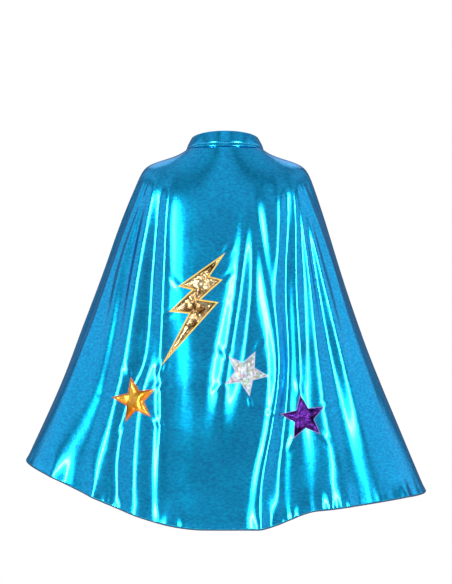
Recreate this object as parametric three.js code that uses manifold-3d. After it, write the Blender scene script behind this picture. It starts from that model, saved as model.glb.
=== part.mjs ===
// A child's superhero cape, as it hangs when worn: a flared outer panel of metallic foil knit with a dark lining,
// a stiffened stand collar that closes at the front with a hook-and-loop tab, and four padded appliques on the back.
// Millimetres, +Z up. The origin is the middle of the neck opening, level with the collar's seam at the sides.
// -Y is the wearer's back, which carries the appliques, and +Y is the way the wearer faces.
import * as THREE from "three";
import { mergeVertices } from "three/addons/utils/BufferGeometryUtils.js";
import Module from "manifold-3d";

const wasm = await Module();
wasm.setup();

// ---- Driving dimensions ----
const NECK_HALF_WIDTH = 60;
const NECK_HALF_DEPTH = 57;
const NECK_BACK_RISE = 5; // the seam at the nape, above the origin
const NECK_FRONT_DROP = 20; // from the nape down to the throat
const FRONT_EDGE_ANGLE = 172; // from the nape round to each front edge, in degrees

const SHOULDER_HALF_WIDTH = 133;
const SHOULDER_HALF_DEPTH = 88;
const SHOULDER_SQUARENESS = 2.4; // exponent of the superellipse, 2 is an ellipse
const SHOULDER_TIP_DROP = 22; // from the origin down to the top of the shoulder
const SHOULDER_BLADE_DROP = 60; // from there down to the back and the chest
const SHOULDER_END_ANGLE = 145; // where the front edges cross the chest

const HEM_HALF_WIDTH = 316;
const HEM_HALF_DEPTH = 128;
const HEM_END_ANGLE = 118; // past 90, so the cloth turns in behind its widest point
const HEM_DROP = 589; // from the origin down to the hem at the middle of the back
// How far the hem climbs towards each corner: [height, from, to], with from and to as shares of the way round.
const HEM_LEFT_RISES = [[97, 0.07, 0.9]];
const HEM_RIGHT_RISES = [
  [26, 0.11, 0.33],
  [18, 0.22, 0.78],
];

const SHOULDER_SHARE = 0.155; // the part of each rib, neck to hem, that lies on the shoulder
// How roundly a rib turns down: gently over the back, and more sharply from here on, over the shoulder's tip.
const BACK_SOFTNESS = 0.13;
const TIP_SOFTNESS = 0.035;
const TIP_FROM = 0.36;

const CAPE_COLUMNS = 52;
const CAPE_ROWS = 14;

// Layers of cloth, as distances out from the surface that the wearer's body touches.
const LINING = [0, 0.5];
const SHELL = [0.9, 1.7];
const WADDING = [2.1, 3.6];
const FOIL = [3.9, 4.5];
const EDGE_STITCHING = [2.1, 4.9];
const FLAT_FABRIC = [2.1, 2.9];
const FLAT_STITCHING = [2.1, 3.2];
const STITCH_GAP = 0.4; // between an applique's cloth and the stitching round it
const LINING_PEEP = 1.003; // the lining shows past the shell's hem by this share of a rib

const COLLAR_BASE = 2.4; // the collar's lower edge, above the neck seam
const COLLAR_TOP = 24;
const COLLAR_SIDE_DROP = 5; // the top edge is this much lower at the sides of the neck than at the nape and the throat
const COLLAR_LEAN = 0.36; // how far it leans in for each millimetre of height
const COLLAR_END_ANGLE = 176;
const COLLAR_COLUMNS = 44;
const BAND_INNER = [0, 0.7];
const BAND_STIFFENER = [1.0, 1.6];
const BAND_OUTER = [1.9, 2.6];
const TOPSTITCH = [2.9, 3.4];
const TOPSTITCH_HEIGHT = [4.2, 4.8];

const TAB_END_ANGLE = 216; // the left end reaches this far round, over the right end
const TAB_GAP_ANGLE = 0.5; // the slit at the peel line
const OVERLAP_STEP = 5.9; // how far the left end stands out to pass over the right one
const OVERLAP_STEP_FROM = 148;
const PATCH_ANGLES = [146, 173];
const PATCH_HEIGHTS = [6.5, 20.5];
const LOOP_PATCH = [2.9, 3.9];
const HOOK_PATCH = [4.4, 5.6]; // from the same surface as the loop patch
const STITCH_FRAME_WIDTH = 0.9;
const STITCH_HEIGHT = [0.3, 0.8]; // above the cloth that it is sewn through

// ---- Colours ----
const TURQUOISE_FOIL = { color: 0x0b9fd6, roughness: 0.28, metalness: 1 };
const NAVY_LINING = { color: 0x10264a, roughness: 0.55, metalness: 0 };
const WHITE_STIFFENER = { color: 0xe8e8e4, roughness: 0.9, metalness: 0 };
const TURQUOISE_THREAD = { color: 0x35c4e8, roughness: 0.5, metalness: 0 };
const GOLD_FOIL = { color: 0xd9b06a, roughness: 0.22, metalness: 1 };
const GOLD_THREAD = { color: 0xe6c45a, roughness: 0.45, metalness: 0 };
const ORANGE_FOIL = { color: 0xf2932a, roughness: 0.25, metalness: 1 };
const ORANGE_THREAD = { color: 0xb5563a, roughness: 0.5, metalness: 0 };
const PURPLE_FOIL = { color: 0x5a2a80, roughness: 0.2, metalness: 1 };
const LILAC_THREAD = { color: 0xb9a8e0, roughness: 0.5, metalness: 0 };
const SILVER_GLITTER = { color: 0xc9ccda, roughness: 0.35, metalness: 0.8 };
const SILVER_THREAD = { color: 0xe6eaf4, roughness: 0.45, metalness: 0 };
const WADDING_WHITE = { color: 0xf0efe8, roughness: 1, metalness: 0 };
const BLACK_HOOK = { color: 0x1b1d22, roughness: 0.7, metalness: 0 };
const WHITE_SATIN = { color: 0xf2f2ee, roughness: 0.4, metalness: 0 };

const cape = new THREE.Group();

function add(name, geometry, finish) {
  const mesh = new THREE.Mesh(geometry, new THREE.MeshStandardMaterial(finish));
  mesh.name = name;
  cape.add(mesh);
  return mesh;
}

// ---- Joining and cutting ----
function toSolid(geometry) {
  const bare = geometry.clone();
  bare.deleteAttribute("normal");
  bare.deleteAttribute("uv");
  const merged = mergeVertices(bare, 1e-3);
  return new wasm.Manifold(
    new wasm.Mesh({
      numProp: 3,
      vertProperties: merged.attributes.position.array,
      triVerts: new Uint32Array(merged.index.array),
    }),
  );
}

function toGeometry(solid) {
  const { vertProperties, triVerts } = solid.getMesh();
  return new THREE.BufferGeometry()
    .setAttribute("position", new THREE.BufferAttribute(vertProperties, 3))
    .setIndex(new THREE.BufferAttribute(triVerts, 1));
}

// ---- Cloth as a bent sheet ----
// A box halves the cells of its front and of its back along opposite diagonals. Halving both the same way keeps
// the two faces of a bent sheet parallel, and parallel to the next layer's.
function matchDiagonals(box) {
  const corners = box.index.array;
  const back = box.groups[5];
  for (let i = back.start; i < back.start + back.count; i += 6) {
    const [a, b, d, , c] = corners.slice(i, i + 6);
    corners.set([a, b, c, a, c, d], i);
  }
}

// A flat slab of columns by rows cells, bent by place(across, up, out): across and up run from 0 to 1,
// and out is the distance from the base surface, from layer[0] inside to layer[1] outside.
function bentSheet(columns, rows, layer, place) {
  const geometry = new THREE.BoxGeometry(1, 1, 1, columns, rows, 1);
  const corner = geometry.attributes.position;
  const point = new THREE.Vector3();
  for (let i = 0; i < corner.count; i++) {
    const out = corner.getZ(i) < 0 ? layer[0] : layer[1];
    place(corner.getX(i) + 0.5, corner.getY(i) + 0.5, out, point);
    corner.setXYZ(i, point.x, point.y, point.z);
  }
  matchDiagonals(geometry);
  return geometry;
}

// ---- The cape's surface ----
const radians = THREE.MathUtils.degToRad;

function neckPoint(angle) {
  const forward = (1 - Math.cos(angle)) / 2;
  return new THREE.Vector3(
    NECK_HALF_WIDTH * Math.sin(angle),
    -NECK_HALF_DEPTH * Math.cos(angle),
    NECK_BACK_RISE - NECK_FRONT_DROP * forward * forward,
  );
}

// Half of a ring round the body, from the middle of the back to the front edge, spaced evenly along its length.
class HalfRing extends THREE.Curve {
  constructor(at, endAngle) {
    super();
    this.at = at;
    this.endAngle = endAngle;
  }
  getPoint(t, target = new THREE.Vector3()) {
    return target.copy(this.at(radians(this.endAngle) * t));
  }
}

const shoulderRing = new HalfRing((angle) => {
  const power = 2 / SHOULDER_SQUARENESS;
  const ahead = Math.cos(angle);
  return new THREE.Vector3(
    SHOULDER_HALF_WIDTH * Math.sin(angle) ** power,
    -SHOULDER_HALF_DEPTH * Math.sign(ahead) * Math.abs(ahead) ** power,
    -SHOULDER_TIP_DROP - SHOULDER_BLADE_DROP * Math.abs(ahead) ** 1.5,
  );
}, SHOULDER_END_ANGLE);

const hemRing = new HalfRing(
  (angle) =>
    new THREE.Vector3(
      HEM_HALF_WIDTH * Math.sin(angle),
      -HEM_HALF_DEPTH * Math.cos(angle),
      -HEM_DROP,
    ),
  HEM_END_ANGLE,
);

// 0 before the shoulder and rising along the hanging part of a rib, with a soft start.
function pastShoulder(v, softness) {
  const d = v - SHOULDER_SHARE;
  return (d + Math.hypot(d, softness)) / 2;
}

// The cape's base surface: u from -1 at the left front edge to 1 at the right one, v from 0 at the neck to 1 at the hem.
function basePoint(u, v) {
  const side = u < 0 ? -1 : 1;
  const t = Math.min(Math.abs(u), 1);
  const neck = neckPoint(radians(FRONT_EDGE_ANGLE) * t);
  const shoulder = shoulderRing.getPointAt(t);
  const hem = hemRing.getPointAt(t);
  for (const [height, from, to] of side < 0 ? HEM_LEFT_RISES : HEM_RIGHT_RISES) {
    hem.z += height * THREE.MathUtils.smoothstep(t, from, to);
  }
  const softness = THREE.MathUtils.lerp(BACK_SOFTNESS, TIP_SOFTNESS, THREE.MathUtils.smoothstep(t, 0, TIP_FROM));
  const start = pastShoulder(0, softness);
  const span = pastShoulder(1, softness) - start;
  const hanging = (pastShoulder(v, softness) - start) / span;
  const lying = (v - span * hanging) / (1 - span);
  const point = neck.clone();
  point.addScaledVector(shoulder.clone().sub(neck), lying);
  point.addScaledVector(hem.sub(shoulder), hanging);
  point.x *= side;
  return point;
}

function capePoint(u, v, out, target) {
  const step = 0.004;
  const along = basePoint(u + step, v).sub(basePoint(u - step, v));
  const down = basePoint(u, v + step).sub(basePoint(u, Math.max(v - step, 0)));
  const normal = down.cross(along).normalize();
  return target.copy(basePoint(u, v)).addScaledVector(normal, out);
}

function capeLayer(layer, length = 1) {
  return bentSheet(CAPE_COLUMNS, CAPE_ROWS, layer, (across, up, out, target) =>
    capePoint((2 * across - 1) * 0.999, (1 - up) * length, out, target),
  );
}

add("outer_shell", capeLayer(SHELL), TURQUOISE_FOIL);
add("lining", capeLayer(LINING, LINING_PEEP), NAVY_LINING);

// ---- The collar ----
// angle is from the nape, in radians: negative to the wearer's left, past 180 degrees where the left end passes over.
function collarPoint(angle, height, out, target) {
  const past = THREE.MathUtils.smoothstep(
    -THREE.MathUtils.radToDeg(angle),
    OVERLAP_STEP_FROM,
    COLLAR_END_ANGLE,
  );
  const reach = out + OVERLAP_STEP * past - COLLAR_LEAN * height;
  target.copy(neckPoint(angle));
  target.x += reach * Math.sin(angle);
  target.y -= reach * Math.cos(angle);
  target.z += height * (1 - (COLLAR_SIDE_DROP / COLLAR_TOP) * Math.sin(angle) ** 2);
  return target;
}

function collarStrip(columns, angles, heights, layer) {
  return bentSheet(columns, 1, layer, (across, up, out, target) =>
    collarPoint(
      radians(THREE.MathUtils.lerp(angles[0], angles[1], across)),
      THREE.MathUtils.lerp(heights[0], heights[1], up),
      out,
      target,
    ),
  );
}

const BAND_ANGLES = [-COLLAR_END_ANGLE, COLLAR_END_ANGLE];
const BAND_HEIGHTS = [COLLAR_BASE, COLLAR_TOP];
const STIFFENER_HEIGHTS = [COLLAR_BASE + 1, COLLAR_TOP - 1];
const TAB_ANGLES = [-TAB_END_ANGLE, -COLLAR_END_ANGLE - TAB_GAP_ANGLE];
const TAB_COLUMNS = 6;

for (const [part, columns, angles] of [
  ["collar", COLLAR_COLUMNS, BAND_ANGLES],
  ["closure_tab", TAB_COLUMNS, TAB_ANGLES],
]) {
  add(part + "_outer", collarStrip(columns, angles, BAND_HEIGHTS, BAND_OUTER), TURQUOISE_FOIL);
  add(part + "_stiffener", collarStrip(columns, angles, STIFFENER_HEIGHTS, BAND_STIFFENER), WHITE_STIFFENER);
  add(part + "_inner", collarStrip(columns, angles, BAND_HEIGHTS, BAND_INNER), TURQUOISE_FOIL);
}

const TOPSTITCH_ANGLES = [-COLLAR_END_ANGLE + 1, COLLAR_END_ANGLE - 1];
add(
  "collar_topstitching",
  collarStrip(COLLAR_COLUMNS, TOPSTITCH_ANGLES, TOPSTITCH_HEIGHT, TOPSTITCH),
  TURQUOISE_THREAD,
);

// ---- The closure ----
// The hook patch lies on the tab's inner face, so it takes the tab's own angles and leaves out its step.
const HOOK_ANGLES = PATCH_ANGLES.map((angle) => angle - 360);
const HOOK_LAYER = HOOK_PATCH.map((out) => out - OVERLAP_STEP);
add("loop_patch", collarStrip(4, PATCH_ANGLES, PATCH_HEIGHTS, LOOP_PATCH), BLACK_HOOK);
add("hook_patch", collarStrip(4, HOOK_ANGLES, PATCH_HEIGHTS, HOOK_LAYER), BLACK_HOOK);

// A rectangle of stitching round a patch: a strip less a slightly smaller strip through it.
function stitchFrame(angles, layer) {
  const whole = collarStrip(4, angles, PATCH_HEIGHTS, layer);
  const inset = THREE.MathUtils.radToDeg(STITCH_FRAME_WIDTH / NECK_HALF_DEPTH);
  const hole = collarStrip(
    4,
    [angles[0] + inset, angles[1] - inset],
    [PATCH_HEIGHTS[0] + STITCH_FRAME_WIDTH, PATCH_HEIGHTS[1] - STITCH_FRAME_WIDTH],
    [layer[0] - 1, layer[1] + 1],
  );
  return toGeometry(toSolid(whole).subtract(toSolid(hole)));
}

const STITCH_ON_TAB = STITCH_HEIGHT.map((height) => BAND_OUTER[1] + height);
const STITCH_INSIDE_COLLAR = [-STITCH_HEIGHT[1], -STITCH_HEIGHT[0]];
add("hook_patch_stitching", stitchFrame(HOOK_ANGLES, STITCH_ON_TAB), TURQUOISE_THREAD);
add("loop_patch_stitching", stitchFrame(PATCH_ANGLES, STITCH_INSIDE_COLLAR), TURQUOISE_THREAD);

// ---- Appliques ----
// Outlines are [x, z] points as seen from behind the wearer, anticlockwise, about the applique's own middle.
function starOutline(radius, notch, turn) {
  const points = [];
  for (let i = 0; i < 10; i++) {
    const angle = radians(90 - turn + 36 * i);
    const reach = i % 2 ? radius * notch : radius;
    points.push([reach * Math.cos(angle), reach * Math.sin(angle)]);
  }
  return points;
}

// The outline moved inwards by a distance, with mitred corners.
function insetOutline(points, distance) {
  const count = points.length;
  return points.map((here, i) => {
    const before = new THREE.Vector2(...points[(i + count - 1) % count]);
    const corner = new THREE.Vector2(...here);
    const after = new THREE.Vector2(...points[(i + 1) % count]);
    const arriving = corner.clone().sub(before).normalize();
    const leaving = after.sub(corner).normalize();
    const inward = new THREE.Vector2(-arriving.y - leaving.y, arriving.x + leaving.x).normalize();
    const share = inward.dot(new THREE.Vector2(-arriving.y, arriving.x));
    return corner.addScaledVector(inward, distance / share).toArray();
  });
}

// A prism on an outline, reaching from the body's middle out past the back of the cape.
function prism(points, [x, z]) {
  const shape = new THREE.Shape(points.map((p) => new THREE.Vector2(...p)));
  const geometry = new THREE.ExtrudeGeometry(shape, { depth: 200, bevelEnabled: false });
  geometry.rotateX(Math.PI / 2);
  geometry.translate(x, 0, z);
  return toSolid(geometry);
}

const layerSolids = new Map();
function layerSolid(layer) {
  if (!layerSolids.has(layer)) layerSolids.set(layer, toSolid(capeLayer(layer)));
  return layerSolids.get(layer);
}

function addApplique(name, outline, centre, stitchWidth, padded, clothFinish, threadFinish) {
  const outer = prism(outline, centre);
  const cloth = prism(insetOutline(outline, stitchWidth + STITCH_GAP), centre);
  const hole = prism(insetOutline(outline, stitchWidth), centre);
  const ring = outer.subtract(hole);
  const cut = (layer, tool) => toGeometry(layerSolid(layer).intersect(tool));
  if (padded) add(name + "_wadding", cut(WADDING, cloth), WADDING_WHITE);
  add(name + "_cloth", cut(padded ? FOIL : FLAT_FABRIC, cloth), clothFinish);
  add(name + "_edge_stitching", cut(padded ? EDGE_STITCHING : FLAT_STITCHING, ring), threadFinish);
}

const STAR_NOTCH = 0.45; // a notch's radius as a share of a tip's
const BOLT_OUTLINE = [
  [44, 75],
  [-26, 25],
  [-4, 20],
  [-40, -14],
  [-9, -17],
  [-49, -94],
  [35, 0],
  [7, 4],
  [41, 35],
  [21, 40],
];
addApplique("bolt", BOLT_OUTLINE, [-46, -241], 2.4, true, GOLD_FOIL, GOLD_THREAD);
addApplique("orange_star", starOutline(34, STAR_NOTCH, -12), [-140, -393], 1.8, true, ORANGE_FOIL, ORANGE_THREAD);
addApplique("silver_star", starOutline(36, STAR_NOTCH, 26), [31, -350], 1.6, false, SILVER_GLITTER, SILVER_THREAD);
addApplique("purple_star", starOutline(36, STAR_NOTCH, -9), [122, -419], 1.8, true, PURPLE_FOIL, LILAC_THREAD);

// ---- Hanging loop and size label, sewn into the neck seam at the nape ----
const LOOP_WIDTH = 24;
const LOOP_LENGTH = 34;
const LOOP_TAPE = 5;
const LOOP_TOP = 2; // above the origin, just under the collar
const LOOP_PLANE = -54.4;
const TAPE_THICKNESS = 0.8;

function loopOutline(halfWidth, top, bottom) {
  const path = new THREE.Path();
  path.moveTo(halfWidth, top);
  path.lineTo(-halfWidth, top);
  path.absarc(0, bottom + halfWidth, halfWidth, Math.PI, 2 * Math.PI);
  path.closePath();
  return path;
}

const loopShape = new THREE.Shape(
  loopOutline(LOOP_WIDTH / 2, LOOP_TOP, LOOP_TOP - LOOP_LENGTH).getPoints(8),
);
loopShape.holes.push(
  loopOutline(LOOP_WIDTH / 2 - LOOP_TAPE, LOOP_TOP - LOOP_TAPE, LOOP_TOP - LOOP_LENGTH + LOOP_TAPE),
);
const loopTape = new THREE.ExtrudeGeometry(loopShape, {
  depth: TAPE_THICKNESS,
  bevelEnabled: false,
  curveSegments: 8,
});
loopTape.rotateX(Math.PI / 2);
add("hanging_loop", loopTape, WHITE_SATIN).position.y = LOOP_PLANE;

const LABEL_SIZE = [20, 0.5, 15];
const LABEL_ANGLE = 34; // from the nape, towards the wearer's right
const LABEL_INSIDE = 2.2; // clear of the neck seam
const labelGroup = new THREE.Group();
const labelPlace = neckPoint(radians(LABEL_ANGLE));
labelGroup.position.set(
  labelPlace.x - LABEL_INSIDE * Math.sin(radians(LABEL_ANGLE)),
  labelPlace.y + LABEL_INSIDE * Math.cos(radians(LABEL_ANGLE)),
  LOOP_TOP,
);
labelGroup.rotation.z = radians(LABEL_ANGLE);
const label = add("size_label", new THREE.BoxGeometry(...LABEL_SIZE), WHITE_SATIN);
label.position.z = -LABEL_SIZE[2] / 2;
labelGroup.add(label);
cape.add(labelGroup);

export default cape;
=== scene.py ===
# A child's superhero cape, as it hangs when worn: turquoise foil cloth flaring from a stand collar, lined
# in dark navy, with a padded gold bolt and three stars sewn on the back. Metres, +Z up, and the wearer
# faces +Y.
import bisect
import functools
import math

import bmesh
import bpy
from mathutils import Matrix, Vector, noise
from mathutils.bvhtree import BVHTree


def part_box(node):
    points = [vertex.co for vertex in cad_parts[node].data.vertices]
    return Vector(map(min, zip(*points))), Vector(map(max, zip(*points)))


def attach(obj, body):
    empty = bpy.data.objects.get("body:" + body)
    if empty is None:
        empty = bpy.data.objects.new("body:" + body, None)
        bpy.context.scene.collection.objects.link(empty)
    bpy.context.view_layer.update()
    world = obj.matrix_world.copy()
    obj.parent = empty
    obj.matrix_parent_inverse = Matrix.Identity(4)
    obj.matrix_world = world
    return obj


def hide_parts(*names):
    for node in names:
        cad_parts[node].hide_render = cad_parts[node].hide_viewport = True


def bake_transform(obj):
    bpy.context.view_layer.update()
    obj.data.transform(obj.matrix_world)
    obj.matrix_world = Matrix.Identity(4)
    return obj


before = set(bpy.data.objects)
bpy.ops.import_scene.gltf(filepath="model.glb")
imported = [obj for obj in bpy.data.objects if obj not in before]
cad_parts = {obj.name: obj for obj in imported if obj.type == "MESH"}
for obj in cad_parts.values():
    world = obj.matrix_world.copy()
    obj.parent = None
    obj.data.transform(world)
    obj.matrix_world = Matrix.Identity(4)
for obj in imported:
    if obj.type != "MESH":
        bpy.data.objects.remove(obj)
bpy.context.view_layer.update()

# ---- Camera ----
# Above the middle of the cape and straight behind the wearer, far enough back that the cloth isn't
# foreshortened.
CAMERA_DISTANCE = 3.0
CAMERA_ASIDE = 0.0016
CAMERA_DROP_SHARE = 0.382  # how far down the cape the camera looks, as a share of its drop
CAMERA_LENS = 115.6
CAMERA_SENSOR = 36
CAMERA_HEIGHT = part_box("outer_shell")[0].z * CAMERA_DROP_SHARE
camera_data = bpy.data.cameras.new("camera")
camera_data.lens = CAMERA_LENS
camera_data.sensor_width = CAMERA_SENSOR
camera = bpy.data.objects.new("camera", camera_data)
bpy.context.scene.collection.objects.link(camera)
camera.location = (CAMERA_ASIDE, -CAMERA_DISTANCE, CAMERA_HEIGHT)
camera.rotation_euler = (math.radians(90), 0, 0)
bpy.context.scene.camera = camera

# ---- Studio ----
# A round white floor under a white surround. A tall soft box with a bright core stands on each side of the
# camera, with a small one up on the left and a wide one in front of the wearer. The dim room between gives
# the foil its dark bands.
FLOOR_HEIGHT = -0.95
FLOOR_RADIUS = 1.4


def linear(hex_colour, alpha=1.0):
    """An sRGB colour such as "#19a2e4" as linear values."""
    parts = [int(hex_colour[i : i + 2], 16) / 255 for i in (1, 3, 5)]
    return [c / 12.92 if c <= 0.04045 else ((c + 0.055) / 1.055) ** 2.4 for c in parts] + [alpha]


def set_up(node, settings=None, links=None):
    """Gives a node its settings, by property or socket name, and the sockets that feed it."""
    for name, value in (settings or {}).items():
        if isinstance(name, str) and hasattr(node, name):
            setattr(node, name, value)
        else:
            node.inputs[name].default_value = value
    for name, source in (links or {}).items():
        node.id_data.links.new(source, node.inputs[name])


def add_node(tree, kind, settings=None, links=None):
    """Adds a node, set up with these settings and links."""
    node = tree.nodes.new(kind)
    set_up(node, settings, links)
    return node


def new_material(name):
    """A plain material, with its node tree, its surface shader and the place that patterns start from."""
    material = bpy.data.materials.new(name)
    material.use_nodes = True
    tree = material.node_tree
    tree.nodes.clear()
    shader = add_node(tree, "ShaderNodeBsdfPrincipled")
    add_node(tree, "ShaderNodeOutputMaterial", links={"Surface": shader.outputs["BSDF"]})
    return material, tree, shader, add_node(tree, "ShaderNodeTexCoord").outputs["Object"]


def finish_mesh(mesh, name, *materials):
    """Turns a bmesh into a smooth-shaded object that sits at the origin."""
    data = bpy.data.meshes.new(name)
    for face in mesh.faces:
        face.smooth = True
    mesh.to_mesh(data)
    mesh.free()
    for material in materials:
        data.materials.append(material)
    made = bpy.data.objects.new(name, data)
    bpy.context.scene.collection.objects.link(made)
    return made


floor_paint, _, shader, _ = new_material("matt_warm_white_paint_rolled")
set_up(shader, {"Base Color": linear("#ffecdc"), "Roughness": 0.9})
floor_mesh = bmesh.new()
bmesh.ops.create_circle(floor_mesh, cap_ends=True, radius=FLOOR_RADIUS, segments=96)
bmesh.ops.translate(floor_mesh, verts=floor_mesh.verts, vec=(0, 0, FLOOR_HEIGHT))
finish_mesh(floor_mesh, "floor", floor_paint)

world = bpy.data.worlds.new("studio")
bpy.context.scene.world = world
world.use_nodes = True
tree = world.node_tree
tree.nodes.clear()
# What the camera sees past the floor is white. What the cloth mirrors is a dim bluish room, lightest in
# front.
direction = add_node(tree, "ShaderNodeTexCoord")
along = add_node(tree, "ShaderNodeSeparateXYZ", links={0: direction.outputs["Generated"]})
# Dark flags stand on both sides of each soft box, to set a darker band beside each bright one on the foil.
# Each stop is a direction from left to right, and how light the room is there.
ROOM_ACROSS = [
    (-1.00, 0.80), (-0.90, 0.85), (-0.76, 0.20), (-0.62, 0.48), (-0.44, 0.36), (-0.28, 0.16), (-0.12, 0.53),
    (0.08, 0.52), (0.20, 0.42), (0.32, 0.14), (0.46, 0.36), (0.64, 0.42), (0.78, 0.24), (0.90, 0.95),
    (1.00, 0.90),
]
across = add_node(
    tree,
    "ShaderNodeMapRange",
    {"From Min": -1.0, "From Max": 1.0, "To Min": 0.0, "To Max": 1.0},
    {0: along.outputs["X"]},
)
flags = add_node(tree, "ShaderNodeValToRGB", links={0: across.outputs[0]})
flags.color_ramp.interpolation = "EASE"
while len(flags.color_ramp.elements) < len(ROOM_ACROSS):
    flags.color_ramp.elements.new(0.5)
for stop, (x, level) in zip(flags.color_ramp.elements, ROOM_ACROSS):
    stop.position = (x + 1) / 2
    stop.color = (level, level, level, 1)
in_front = add_node(
    tree,
    "ShaderNodeMapRange",
    {"From Min": -0.1, "From Max": 0.6, "To Min": 1.0, "To Max": 1.2},
    {0: along.outputs["Y"]},
)
ceiling = add_node(
    tree,
    "ShaderNodeMapRange",
    {"From Min": 0.1, "From Max": 0.8, "To Min": 0.95, "To Max": 1.8},
    {0: along.outputs["Z"]},
)
times = {"operation": "MULTIPLY"}
walls = add_node(tree, "ShaderNodeMath", times, {0: flags.outputs[0], 1: ceiling.outputs[0]})
strength = add_node(tree, "ShaderNodeMath", times, {0: walls.outputs[0], 1: in_front.outputs[0]})
room = add_node(
    tree, "ShaderNodeBackground", {"Color": linear("#ccecff")}, {"Strength": strength.outputs[0]}
)
surround = add_node(tree, "ShaderNodeBackground", {"Color": (1, 1, 1, 1), "Strength": 1.0})
ray = add_node(tree, "ShaderNodeLightPath")
seen = add_node(
    tree,
    "ShaderNodeMixShader",
    links={0: ray.outputs["Is Camera Ray"], 1: room.outputs[0], 2: surround.outputs[0]},
)
add_node(tree, "ShaderNodeOutputWorld", links={"Surface": seen.outputs[0]})

LOOK_AT = Vector((0, 0, CAMERA_HEIGHT))
for name, place, width, height, watts in [
    ("left_soft_box", (-1.65, -2.5, 0.1), 1.0, 2.4, 4),
    ("left_soft_box_core", (-1.60, -2.45, 0.1), 0.17, 2.2, 76),
    ("right_soft_box", (1.75, -2.45, 0.1), 0.9, 2.4, 3),
    ("right_soft_box_core", (1.70, -2.40, 0.1), 0.13, 2.2, 54),
    ("upper_left_soft_box", (-1.3, -2.2, 0.8), 0.34, 0.34, 3),
    ("front_soft_box", (0.0, 2.1, 2.0), 2.4, 1.6, 14),
]:
    lamp = bpy.data.lights.new(name, "AREA")
    lamp.shape = "RECTANGLE"
    lamp.size = width
    lamp.size_y = height
    lamp.energy = watts
    box = bpy.data.objects.new(name, lamp)
    bpy.context.scene.collection.objects.link(box)
    box.location = place
    box.rotation_euler = (LOOK_AT - box.location).to_track_quat("-Z", "Y").to_euler()

bpy.context.scene.view_settings.view_transform = "Standard"

# ---- Outer shell ----
# One flared panel of polyester knit with turquoise foil bonded to it. It is sewn into the collar, lies taut
# over the shoulders and hangs from them in long folds that fan out to the hem.
NECK_HALF_WIDTH = 0.060
NECK_HALF_DEPTH = 0.057
NECK_BACK_RISE = 0.005
NECK_FRONT_DROP = 0.020
FRONT_EDGE_ANGLE = math.radians(172)
SHOULDER_HALF_WIDTH = 0.133
SHOULDER_HALF_DEPTH = 0.088
SHOULDER_SQUARENESS = 2.4
SHOULDER_TIP_DROP = 0.022
SHOULDER_BLADE_DROP = 0.060
SHOULDER_END_ANGLE = math.radians(145)
HEM_HALF_WIDTH = 0.316
HEM_HALF_DEPTH = 0.128
HEM_END_ANGLE = math.radians(118)
HEM_DROP = 0.589
# How far the hem climbs towards each corner: height, from and to, the last two as shares of the way round.
HEM_LEFT_RISES = [(0.097, 0.07, 0.90)]
HEM_RIGHT_RISES = [(0.026, 0.11, 0.33), (0.018, 0.22, 0.78)]
SHOULDER_SHARE = 0.155
BACK_SOFTNESS = 0.13
TIP_SOFTNESS = 0.035
TIP_FROM = 0.36


def blend_from(value, low, high):
    """0 below low and 1 above high, with a smooth turn between them."""
    t = min(max((value - low) / (high - low), 0.0), 1.0)
    return t * t * (3 - 2 * t)


def between(positions, values, at):
    """The value at a place between listed positions, turning smoothly at each."""
    if at <= positions[0]:
        return values[0]
    for i in range(1, len(positions)):
        if at <= positions[i]:
            t = (at - positions[i - 1]) / (positions[i] - positions[i - 1])
            before = values[max(i - 2, 0)]
            after = values[min(i + 1, len(values) - 1)]
            start, end = values[i - 1], values[i]
            leaving, arriving = (end - before) / 2, (after - start) / 2
            return (
                (2 * t**3 - 3 * t**2 + 1) * start
                + (t**3 - 2 * t**2 + t) * leaving
                + (3 * t**2 - 2 * t**3) * end
                + (t**3 - t**2) * arriving
            )
    return values[-1]


def neck_point(angle):
    forward = (1 - math.cos(angle)) / 2
    return Vector(
        (
            NECK_HALF_WIDTH * math.sin(angle),
            -NECK_HALF_DEPTH * math.cos(angle),
            NECK_BACK_RISE - NECK_FRONT_DROP * forward**2,
        )
    )


def shoulder_point(angle):
    power = 2 / SHOULDER_SQUARENESS
    ahead = math.cos(angle)
    return Vector(
        (
            SHOULDER_HALF_WIDTH * math.sin(angle) ** power,
            -SHOULDER_HALF_DEPTH * math.copysign(abs(ahead) ** power, ahead),
            -SHOULDER_TIP_DROP - SHOULDER_BLADE_DROP * abs(ahead) ** 1.5,
        )
    )


def hem_point(angle):
    return Vector((HEM_HALF_WIDTH * math.sin(angle), -HEM_HALF_DEPTH * math.cos(angle), -HEM_DROP))


def evenly_along(curve, end_angle, steps=400):
    """The points of a half ring with the share of its length that each has reached."""
    points = [curve(end_angle * i / steps) for i in range(steps + 1)]
    reached = [0.0]
    for a, b in zip(points, points[1:]):
        reached.append(reached[-1] + (b - a).length)
    return [r / reached[-1] for r in reached], points


def at_share(ring, share):
    """The point of a half ring at a share of its length."""
    shares, points = ring
    high = min(bisect.bisect_right(shares, share), len(shares) - 1)
    low = high - 1
    return points[low].lerp(points[high], (share - shares[low]) / (shares[high] - shares[low]))


shoulder_ring = evenly_along(shoulder_point, SHOULDER_END_ANGLE)
hem_ring = evenly_along(hem_point, HEM_END_ANGLE)


@functools.lru_cache(maxsize=None)
def rib(u):
    """Where one rib of the cape starts at the neck, turns down at the shoulder, and ends at the hem."""
    side = -1 if u < 0 else 1
    share = min(abs(u), 1.0)
    neck = neck_point(FRONT_EDGE_ANGLE * share)
    shoulder = at_share(shoulder_ring, share)
    hem = at_share(hem_ring, share)
    for height, start, end in HEM_LEFT_RISES if side < 0 else HEM_RIGHT_RISES:
        hem.z += height * blend_from(share, start, end)
    for point in (neck, shoulder, hem):
        point.x *= side
    return neck, shoulder, hem


def past_shoulder(v, softness):
    return (v - SHOULDER_SHARE + math.hypot(v - SHOULDER_SHARE, softness)) / 2


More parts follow.
